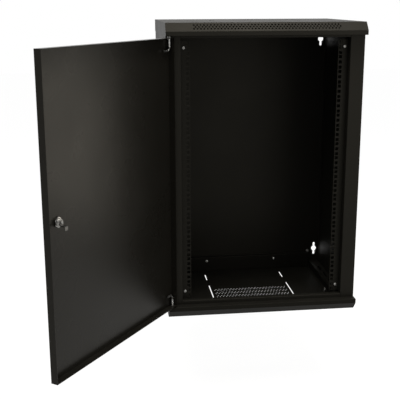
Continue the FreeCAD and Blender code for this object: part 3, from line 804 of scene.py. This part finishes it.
@dataclass
class HexNut:
    """A nut with both faces chamfered and an open bore, standing on the local origin.

    Attributes:
        slope: How steeply the chamfer's cone falls outward.
        face_inset: From the flats in to the round edge of a face.
        sides: Points in a ring, a multiple of six.
    """

    corner_radius: float = 0.0058
    height: float = 0.005
    bore: float = 0.00305
    bore_chamfer: float = 0.0004
    slope: float = 0.4
    face_inset: float = 0.0002
    sides: int = 48

    def add(self, form: Form, place: Matrix, low: float = 0.0, turned: float = 0.0) -> None:
        """Add the nut.

        Args:
            form: Where its faces go.
            place: Frame with Z along the bore.
            low: Where it starts on the axis.
            turned: Turn about the axis, in radians.
        """
        turns = round_turns(self.sides)
        half_side = math.pi / 6
        flat = self.corner_radius * math.cos(half_side)
        face = flat - self.face_inset
        top = low + self.height
        around = place @ Matrix.Rotation(turned, 4, "Z")

        def hexagon(level: float, towards: int) -> list[Vector]:
            """A six-sided ring that dips where the chamfer's cone meets the flats.

            Args:
                level: The height of its face on the axis.
                towards: Which way it dips, 1 for up and -1 for down.

            Returns:
                Its points.
            """
            ring = []
            for turn in turns:
                off_corner = abs((turn + half_side) % (2 * half_side) - half_side)
                radius = flat / math.cos(half_side - off_corner)
                dip = towards * (radius - face) * self.slope
                ring += circle(around, radius, level + dip, [turn])
            return ring

        outside = [
            circle(around, face, low, turns),
            hexagon(low, 1),
            hexagon(top, -1),
            circle(around, face, top, turns),
        ]
        bore = (
            (self.bore + self.bore_chamfer, top),
            (self.bore, top - self.bore_chamfer),
            (self.bore, low + self.bore_chamfer),
            (self.bore + self.bore_chamfer, low),
        )
        form.skin(outside + [circle(around, *point, turns) for point in bore], closed=True)


# ---------------------------------------------------------------- sub-assemblies


@dataclass
class Shell:
    """The folded sheets of the cabinet, which keep the frame's own solids."""

    paints: Paints
    hood: tuple[str, ...] = ("roof_hood",)
    base: tuple[str, ...] = ("base_tray",)
    walls: tuple[str, ...] = ("side_panel_left", "side_panel_right", "rear_panel")
    frame: tuple[str, ...] = ("front_post_left", "front_post_right", "front_sill", "front_header")
    leaves: tuple[str, ...] = ("door_panel", "hinge_guide_lower", "hinge_guide_upper")

    def build(self) -> None:
        """Dress every sheet."""
        rails = [name for name in frame["nodes"] if "rail" in name and "screw" not in name]
        for names, material in (
            (self.hood, self.paints.shell),
            (self.base, self.paints.base),
            (self.walls, self.paints.walls),
            (self.frame, self.paints.frame),
            (self.leaves, self.paints.door),
            (rails, self.paints.rail),
        ):
            for name in names:
                paint(frame["nodes"][name], material)
                LOG.info("dressed %s", name)


@dataclass
class Fasteners:
    """Screws, studs and nuts on the cabinet.

    Attributes:
        seat: From the front of the heads back to where they bear.
        facing_turn: Turn of the first screw that faces the front, in radians.
        facing_step: How much more each next one is turned.
        bracket_turn: Turn of the first bracket screw.
        nut_gap: From a stud's foot to its nut.
        nut_turn: Turn of the nuts.
    """

    paints: Paints
    screw: CrossHeadScrew = field(default_factory=CrossHeadScrew)
    stud: ThreadedRod = field(default_factory=ThreadedRod)
    nut: HexNut = field(default_factory=HexNut)
    seat: float = 0.003
    facing_turn: float = 0.5
    facing_step: float = 0.7
    bracket_turn: float = 0.3
    nut_gap: float = 0.0002
    nut_turn: float = 0.4

    def corners(self, node: str, margin: float) -> tuple[Vector, Vector]:
        """The box of a node, drawn in by a margin.

        Args:
            node: The node's name.
            margin: How far it is drawn in on every side.

        Returns:
            Its lowest and highest corners.
        """
        low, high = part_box(node)
        inset = Vector((margin, margin, margin))
        return low + inset, high - inset

    def facing_screws(self, name: str, material: Material) -> None:
        """Four screws whose heads face the front.

        Args:
            name: The node they stand for.
            material: Their plating.
        """
        low, high = self.corners(name, self.screw.head_radius)
        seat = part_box(name)[0].y + self.seat
        form = Form()
        spots = [(x, z) for z in (low.z, high.z) for x in (low.x, high.x)]
        for index, (x, z) in enumerate(spots):
            place = facing(Vector((x, seat, z)), Vector((0, -1, 0)))
            turned = self.facing_turn + self.facing_step * index
            self.screw.add(form, place @ Matrix.Rotation(turned, 4, "Z"))
        self.finish_piece(form, f"{name}_detailed", name, material)

    def bracket_screws(self) -> None:
        """The screws of the rack rails' brackets, heads up on the floor and down from the roof."""
        name = "bracket_screws"
        low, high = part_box(name)
        form = Form()
        reach = self.screw.length
        radius = self.screw.head_radius
        y = (low.y + high.y) / 2
        for index, x in enumerate((low.x + radius, high.x - radius)):
            for level, outward in ((low.z + reach, 1), (high.z - reach, -1)):
                place = facing(Vector((x, y, level)), Vector((0, 0, outward)))
                self.screw.add(form, place @ Matrix.Rotation(self.bracket_turn + index, 4, "Z"))
        self.finish_piece(form, f"{name}_detailed", name, self.paints.zinc)

    def earth(self) -> None:
        """The two earth studs with their nuts."""
        low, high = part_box("earth_studs")
        radius = self.stud.radius
        on_floor = Vector((low.x + radius, low.y + radius, low.z))
        on_wall = Vector((high.x - radius, high.y, high.z - radius))
        feet = (facing(on_floor, Vector((0, 0, 1))), facing(on_wall, Vector((0, -1, 0))))
        studs, nuts = Form(), Form()
        for foot in feet:
            self.stud.add(studs, foot)
            self.nut.add(nuts, foot, low=self.nut_gap, turned=self.nut_turn)
        self.finish_piece(studs, "earth_studs_threaded", "earth_studs", self.paints.zinc)
        self.finish_piece(nuts, "earth_nuts_chamfered", "earth_nuts", self.paints.zinc)

    def finish_piece(
        self, form: Form, name: str, node: str, material: Material
    ) -> None:
        """Paint a piece, let it ride on the cabinet and stand for its node.

        Args:
            form: Its faces.
            name: Its name.
            node: The node it stands for.
            material: Its finish.
        """
        piece = form.object(name)
        paint(piece, material)
        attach(piece, "cabinet")
        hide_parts(node)
        LOG.info("made %s", name)

    def build(self) -> None:
        """Make every fastener."""
        # The rail screws and the other zinc pieces take the darker zinc copy, with painted shade;
        # the cross rails' screws take the lighter copy, with a painted highlight.
        self.facing_screws("rail_screws", self.paints.zinc)
        self.facing_screws("cross_rail_screws", self.paints.bright)
        self.bracket_screws()
        self.earth()


@dataclass
class Hinges:
    """The sprung hinge pins at the door's two corners.

    Attributes:
        wire: Radius of the springs' wire.
        coil_radius: From a spring's axis to the middle of its wire.
        flat_end: Share of a spring at each end that lies level.
        travel: How far a pin is drawn back; not used.
        smooth: Sharpest angle of the wire that is shaded smooth, in degrees.
    """

    paints: Paints
    wire: float = 0.00055
    turns: float = 7.5
    coil_radius: float = 0.0039
    flat_end: float = 0.08
    travel: float = 0.012
    steps_per_turn: int = 20
    wire_sides: int = 8
    smooth: float = 60.0

    def spring(self, level: str) -> None:
        """A coil spring between the guide and the clip.

        Args:
            level: Which hinge.
        """
        node = f"hinge_spring_{level}"
        low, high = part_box(node)
        centre = (low + high) / 2
        steps = int(self.turns * self.steps_per_turn)
        span = (high.z - low.z) - 2 * self.wire
        rings = []
        for step in range(steps + 1):
            share = step / steps
            climb = (share - self.flat_end) / (1 - 2 * self.flat_end)
            level_z = low.z + self.wire + span * min(1.0, max(0.0, climb))
            turn = 2 * math.pi * self.turns * share
            across, along = math.cos(turn), math.sin(turn)
            spot = Vector(
                (centre.x + self.coil_radius * across, centre.y + self.coil_radius * along, level_z)
            )
            ring = []
            for side in round_turns(self.wire_sides):
                out = Vector((across, along, 0)) * (self.wire * math.cos(side))
                ring.append(spot + out + Vector((0, 0, self.wire * math.sin(side))))
            rings.append(ring)
        form = Form()
        form.skin(rings, caps=True)
        piece = form.object(f"{node}_coil", smooth=self.smooth)
        paint(piece, self.paints.wire)
        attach(piece, "door")
        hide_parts(node)
        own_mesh(piece)
        LOG.info("made %s", piece.name)

    def build(self) -> None:
        """Dress the pins, clips and washers and make the springs."""
        for level in ("upper", "lower"):
            for part in ("pin", "clip", "washer"):
                finish = self.paints.pin if part == "pin" else self.paints.clip
                paint(frame["nodes"][f"hinge_{part}_{level}"], finish)
            self.spring(level)


@dataclass
class Lock:
    """The cam lock near the door's free edge, drawn about its own axis.

    Its local frame has Z into the cabinet, Y down and X along the door, with the origin where the
    axis meets the door's outer face.

    Attributes:
        flange_crown: Inset and share of the flange's height, from its face to the door.
        clearance: Play between plug, barrel and nut.
        bore_chamfer: Chamfer of the barrel's bore in front.
        key_slot: Half the keyway's width and half its length.
        key_depth: Depth of the keyway.
        cam_crank: From the axis to where the cam steps back.
        cam_reach: From the axis to the cam's end.
        cam_latch: How far back the cam's end lies.
        cam_bend: Radius of the cam's bends.
        cam_corner: Radius of its end's corners.
        cam_thin: Narrowest half width of its rounded ends.
        screw_turn: Turn of the cam's screw.
    """

    paints: Paints
    flange_radius: float = 0.012
    flange: float = 0.002
    flange_crown: tuple[Pair, ...] = ((0.0011, 1.0), (0.0004, 0.85), (0.0, 0.55), (0.0, 0.0))
    barrel_radius: float = 0.0094
    barrel_end: float = 0.0127
    clearance: float = 0.00005
    bore_chamfer: float = 0.0003
    thread_depth: float = 0.0006
    thread_pitch: float = 0.0014
    nut_radius: float = 0.0145
    nut_low: float = 0.0012
    nut_height: float = 0.005
    nut_sides: int = 72
    plug_radius: float = 0.006
    plug_end: float = 0.013
    plug_front_edge: float = 0.0005
    plug_back_edge: float = 0.0004
    key_slot: Pair = (0.0008, 0.004)
    key_depth: float = 0.0019
    cam_half_width: float = 0.0055
    cam_thickness: float = 0.002
    cam_crank: float = 0.008
    cam_reach: float = 0.018
    cam_latch: float = 0.0275
    cam_bend: float = 0.0016
    cam_corner: float = 0.0035
    cam_thin: float = 0.0004
    screw_turn: float = 0.6
    sides: int = 48
    end_steps: int = 8
    bend_steps: int = 6
    place: Matrix = field(init=False)
    screw: CrossHeadScrew = field(
        default_factory=lambda: CrossHeadScrew(
            head_radius=0.0038,
            head_height=0.0029,
            shank_radius=0.002,
            length=0.006,
            recess=0.0021,
            recess_width=0.0006,
            recess_depth=0.0013,
        )
    )

    def __post_init__(self) -> None:
        """Find the lock's own frame from its joint."""
        joint = next(each for each in frame["joints"] if each["name"] == "lock_turn")
        inward = -Vector(joint["axis"])
        down = Vector((0, 0, -1))
        turn = Matrix((down.cross(inward), down, inward)).transposed().to_4x4()
        self.place = Matrix.Translation(Vector(joint["pos_m"])) @ turn

    def finish_piece(
        self, form: Form, node: str, body: str, material: Material, slot: Slot
    ) -> None:
        """Paint a piece, let it ride on its body and stand for its node.

        Args:
            form: Its faces.
            node: The node it stands for.
            body: The body it rides on.
            material: Its finish.
            slot: Its material slot; not used.
        """
        piece = form.object(f"{node}_detailed")
        paint(piece, material)
        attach(piece, body)
        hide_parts(node)
        LOG.info("made %s", piece.name)

    def barrel(self) -> None:
        """A crowned flange on the door's face and a threaded barrel through it, in one skin."""
        turns = round_turns(self.sides)
        bore = self.plug_radius + self.clearance
        thread = ThreadedRod(
            radius=self.barrel_radius,
            length=self.barrel_end,
            pitch=self.thread_pitch,
            depth=self.thread_depth,
            steps=self.sides,
        )
        profile = [
            (bore, self.barrel_end),
            (bore, self.bore_chamfer - self.flange),
            (bore + self.bore_chamfer, -self.flange),
        ]
        for inset, share in self.flange_crown:
            profile.append((self.flange_radius - inset, -self.flange * share))
        rings = thread.rings(self.place)
        rings += [circle(self.place, *point, turns) for point in profile]
        form = Form()
        form.skin(rings, closed=True)
        self.finish_piece(form, "lock_barrel", "door", self.paints.lock, Slot.NICKEL)

    def nut(self) -> None:
        """The wide hexagonal nut that holds the barrel."""
        form = Form()
        nut = HexNut(
            corner_radius=self.nut_radius,
            height=self.nut_height,
            bore=self.barrel_radius + self.clearance,
            sides=self.nut_sides,
        )
        nut.add(form, self.place, low=self.nut_low, turned=math.pi / 6)
        self.finish_piece(form, "lock_nut", "door", self.paints.lock, Slot.NICKEL)

    def plug(self) -> None:
        """The plug, with its keyway in front and rounded shoulders at both ends."""
        turns = round_turns(self.sides)
        half_width, half_length = self.key_slot
        radius, front = self.plug_radius, -self.flange
        rings = []
        for level in (front + self.key_depth, front):
            ring = []
            for turn in turns:
                across, along = abs(math.cos(turn)), abs(math.sin(turn))
                reach = min(half_width / max(across, TINY), half_length / max(along, TINY))
                ring += circle(self.place, reach, level, [turn])
            rings.append(ring)
        profile = (
            (radius - self.plug_front_edge, front),
            (radius, front + self.plug_front_edge),
            (radius, self.plug_end - self.plug_back_edge),
            (radius - self.plug_back_edge, self.plug_end),
        )
        rings += [circle(self.place, *point, turns) for point in profile]
        form = Form()
        form.skin(rings, caps=True)
        self.finish_piece(form, "lock_plug", "lock", self.paints.lock, Slot.NICKEL)

    def cam_stations(self) -> list[tuple[float, float, float, float]]:
        """Sections of the cam along its length.

        Returns:
            For each, its Y, its Z, its half width and its slope in radians.
        """
        half = self.cam_half_width
        near, far = self.plug_end + self.cam_thickness / 2, self.cam_latch
        bend, corner = self.cam_bend, self.cam_corner
        ends = [math.pi / 2 * step / self.end_steps for step in range(self.end_steps + 1)]
        stations = []
        for turn in ends:
            wide = max(self.cam_thin, half * math.sin(turn))
            stations.append((-half * math.cos(turn), near, wide, 0.0))
        for step in range(self.bend_steps + 1):
            turn = math.pi / 2 * step / self.bend_steps
            y = self.cam_crank - bend + bend * math.sin(turn)
            stations.append((y, near + bend * (1 - math.cos(turn)), half, turn))
        for step in range(self.bend_steps + 1):
            turn = math.pi / 2 * (1 - step / self.bend_steps)
            y = self.cam_crank + bend - bend * math.sin(turn)
            stations.append((y, far - bend * (1 - math.cos(turn)), half, turn))
        for turn in ends:
            wide = half - corner + max(self.cam_thin, corner * math.cos(turn))
            stations.append((self.cam_reach - corner + corner * math.sin(turn), far, wide, 0.0))
        return stations

    def cam(self) -> None:
        """The cranked cam: a round-ended plate on the plug that hooks behind the post."""
        thick = self.cam_thickness / 2
        rings = []
        for y, z, width, slope in self.cam_stations():
            off_y, off_z = -thick * math.sin(slope), thick * math.cos(slope)
            corners = ((-width, -1), (width, -1), (width, 1), (-width, 1))
            rings.append(
                [
                    self.place @ Vector((across, y + side * off_y, z + side * off_z))
                    for across, side in corners
                ]
            )
        form = Form()
        form.skin(rings, caps=True)
        self.finish_piece(form, "lock_cam", "lock", self.paints.cam, Slot.NICKEL)

    def cam_screw(self) -> None:
        """The screw that holds the cam to the plug."""
        form = Form()
        seat = Matrix.Translation((0, 0, self.plug_end + self.cam_thickness))
        self.screw.add(form, self.place @ seat @ Matrix.Rotation(self.screw_turn, 4, "Z"))
        self.finish_piece(form, "lock_cam_screw", "lock", self.paints.zinc, Slot.NICKEL)

    def build(self) -> None:
        """Make the lock's five pieces."""
        for make in (self.barrel, self.nut, self.plug, self.cam, self.cam_screw):
            make()


# ---------------------------------------------------------------- studio


@dataclass(frozen=True)
class SoftBox:
    """A square soft light."""

    name: str
    spot: Point
    aim: Point
    size: float
    power: float
    tint: Colour = (1.0, 0.96, 0.9)


LAMPS = (
    SoftBox("key", (-0.9, -1.5, 2.3), (0.0, -0.4, 0.1), 1.2, 24.0),
    SoftBox("top", (0.35, -0.95, 2.4), (0.0, -0.45, 0.3), 0.8, 33.0),
    SoftBox("fill", (1.1, -2.7, 0.15), (0.0, -0.1, -0.2), 1.4, 9.0),
    SoftBox("side", (2.2, 0.15, -0.25), (-0.6, -0.75, 0.0), 1.0, 9.0, (1.0, 0.93, 0.82)),
)


@dataclass
class Studio:
    """Floor, light and camera.

    Attributes:
        eye: Where the camera stands.
        yaw: How far it looks to the right, in degrees; pitch is down and roll its tilt.
        world_light: Strength of the surround as light.
        floor_drop: From the cabinet down to the floor.
        glow: Brightness of the floor where it is seen or mirrored.
    """

    eye: Point = (-0.48268, -2.74253, 0.51316)
    yaw: float = 6.97
    pitch: float = 14.183
    roll: float = -0.16
    lens: float = 70.86
    sensor: float = 36.0
    floor_half: float = 12.0
    world_light: float = 0.2
    floor_drop: float = 0.3
    glow: float = 0.93
    floor_colour: Colour = (0.3, 0.3, 0.3)

    def world(self) -> None:
        """An even white surround, full white where it is seen or mirrored."""
        world = bpy.data.worlds.new("surround")
        world.use_nodes = True
        world.node_tree.nodes.clear()
        work = Tree(world.node_tree)
        path = work.add("LightPath")
        camera, passed = path.outputs["Is Camera Ray"], path.outputs["Is Transmission Ray"]
        seen = work.math("MAXIMUM", camera, passed)
        seen = work.math("MAXIMUM", seen, path.outputs["Is Glossy Ray"])
        light = work.add("Background")
        work.feed(light.inputs["Color"], WHITE)
        work.feed(light.inputs["Strength"], work.spread(seen, 0.0, 1.0, self.world_light, 1.0))
        work.feed(work.add("OutputWorld").inputs["Surface"], light.outputs[0])
        bpy.context.scene.world = world

    def floor(self) -> None:
        """A wide pale floor under the cabinet."""
        level = CAD_BOX[0][2] - self.floor_drop
        form = Form()
        half = self.floor_half
        corners = [(-half, -half), (half, -half), (half, half), (-half, half)]
        form.mesh.faces.new([form.mesh.verts.new((x, y, level)) for x, y in corners])
        floor = form.object("studio_floor", smooth=None)
        material, work = new_material("pale_floor")
        path = work.add("LightPath")
        seen = work.math("MAXIMUM", path.outputs["Is Camera Ray"], path.outputs["Is Glossy Ray"])
        matt = work.add("BsdfDiffuse")
        work.feed(matt.inputs["Color"], self.floor_colour)
        glow = work.add("Emission")
        work.feed(glow.inputs["Color"], WHITE)
        work.feed(glow.inputs["Strength"], work.math("MULTIPLY", seen, self.glow))
        both = work.add("AddShader")
        work.feed(both.inputs[0], matt.outputs[0])
        work.feed(both.inputs[1], glow.outputs[0])
        work.feed(work.add("OutputMaterial").inputs["Surface"], both.outputs[0])
        paint(floor, material)

    def lamp(self, lamp: SoftBox) -> None:
        """Hang a soft box.

        Args:
            lamp: Its place, size, power and tint.
        """
        data = bpy.data.lights.new(lamp.name, "AREA")
        data.shape = "SQUARE"
        data.size = lamp.size
        data.energy = lamp.power
        data.color = lamp.tint
        made = bpy.data.objects.new(lamp.name, data)
        made.location = lamp.spot
        ahead = Vector(lamp.aim) - Vector(lamp.spot)
        made.rotation_euler = ahead.to_track_quat("-Z", "Y").to_euler()
        bpy.context.scene.collection.objects.link(made)

    def camera(self) -> None:
        """The camera, a little left of the cabinet and looking down on it."""
        data = bpy.data.cameras.new("view")
        data.lens = self.lens
        data.sensor_width = self.sensor
        data.sensor_fit = "HORIZONTAL"
        camera = bpy.data.objects.new("view", data)
        yaw, pitch = math.radians(self.yaw), math.radians(self.pitch)
        level = math.cos(pitch)
        ahead = Vector((math.sin(yaw) * level, math.cos(yaw) * level, -math.sin(pitch)))
        right = Vector((math.cos(yaw), -math.sin(yaw), 0.0))
        up = right.cross(ahead)
        turn = Matrix((right, up, -ahead)).transposed().to_4x4()
        tilt = Matrix.Rotation(math.radians(self.roll), 4, "Z")
        camera.matrix_world = Matrix.Translation(self.eye) @ turn @ tilt
        bpy.context.scene.collection.objects.link(camera)
        bpy.context.scene.camera = camera

    def build(self) -> None:
        """Set up the studio."""
        bpy.context.scene.view_settings.view_transform = "Standard"
        self.world()
        self.floor()
        for lamp in LAMPS:
            self.lamp(lamp)
        self.camera()


def main() -> None:
    """Build the cabinet's looks, one sub-assembly after another."""
    logging.basicConfig(level=logging.INFO, format="%(message)s")
    paints = Paints()
    Studio().build()
    Shell(paints).build()
    Fasteners(paints).build()
    Hinges(paints).build()
    Lock(paints).build()


if __name__ == "__main__":
    main()
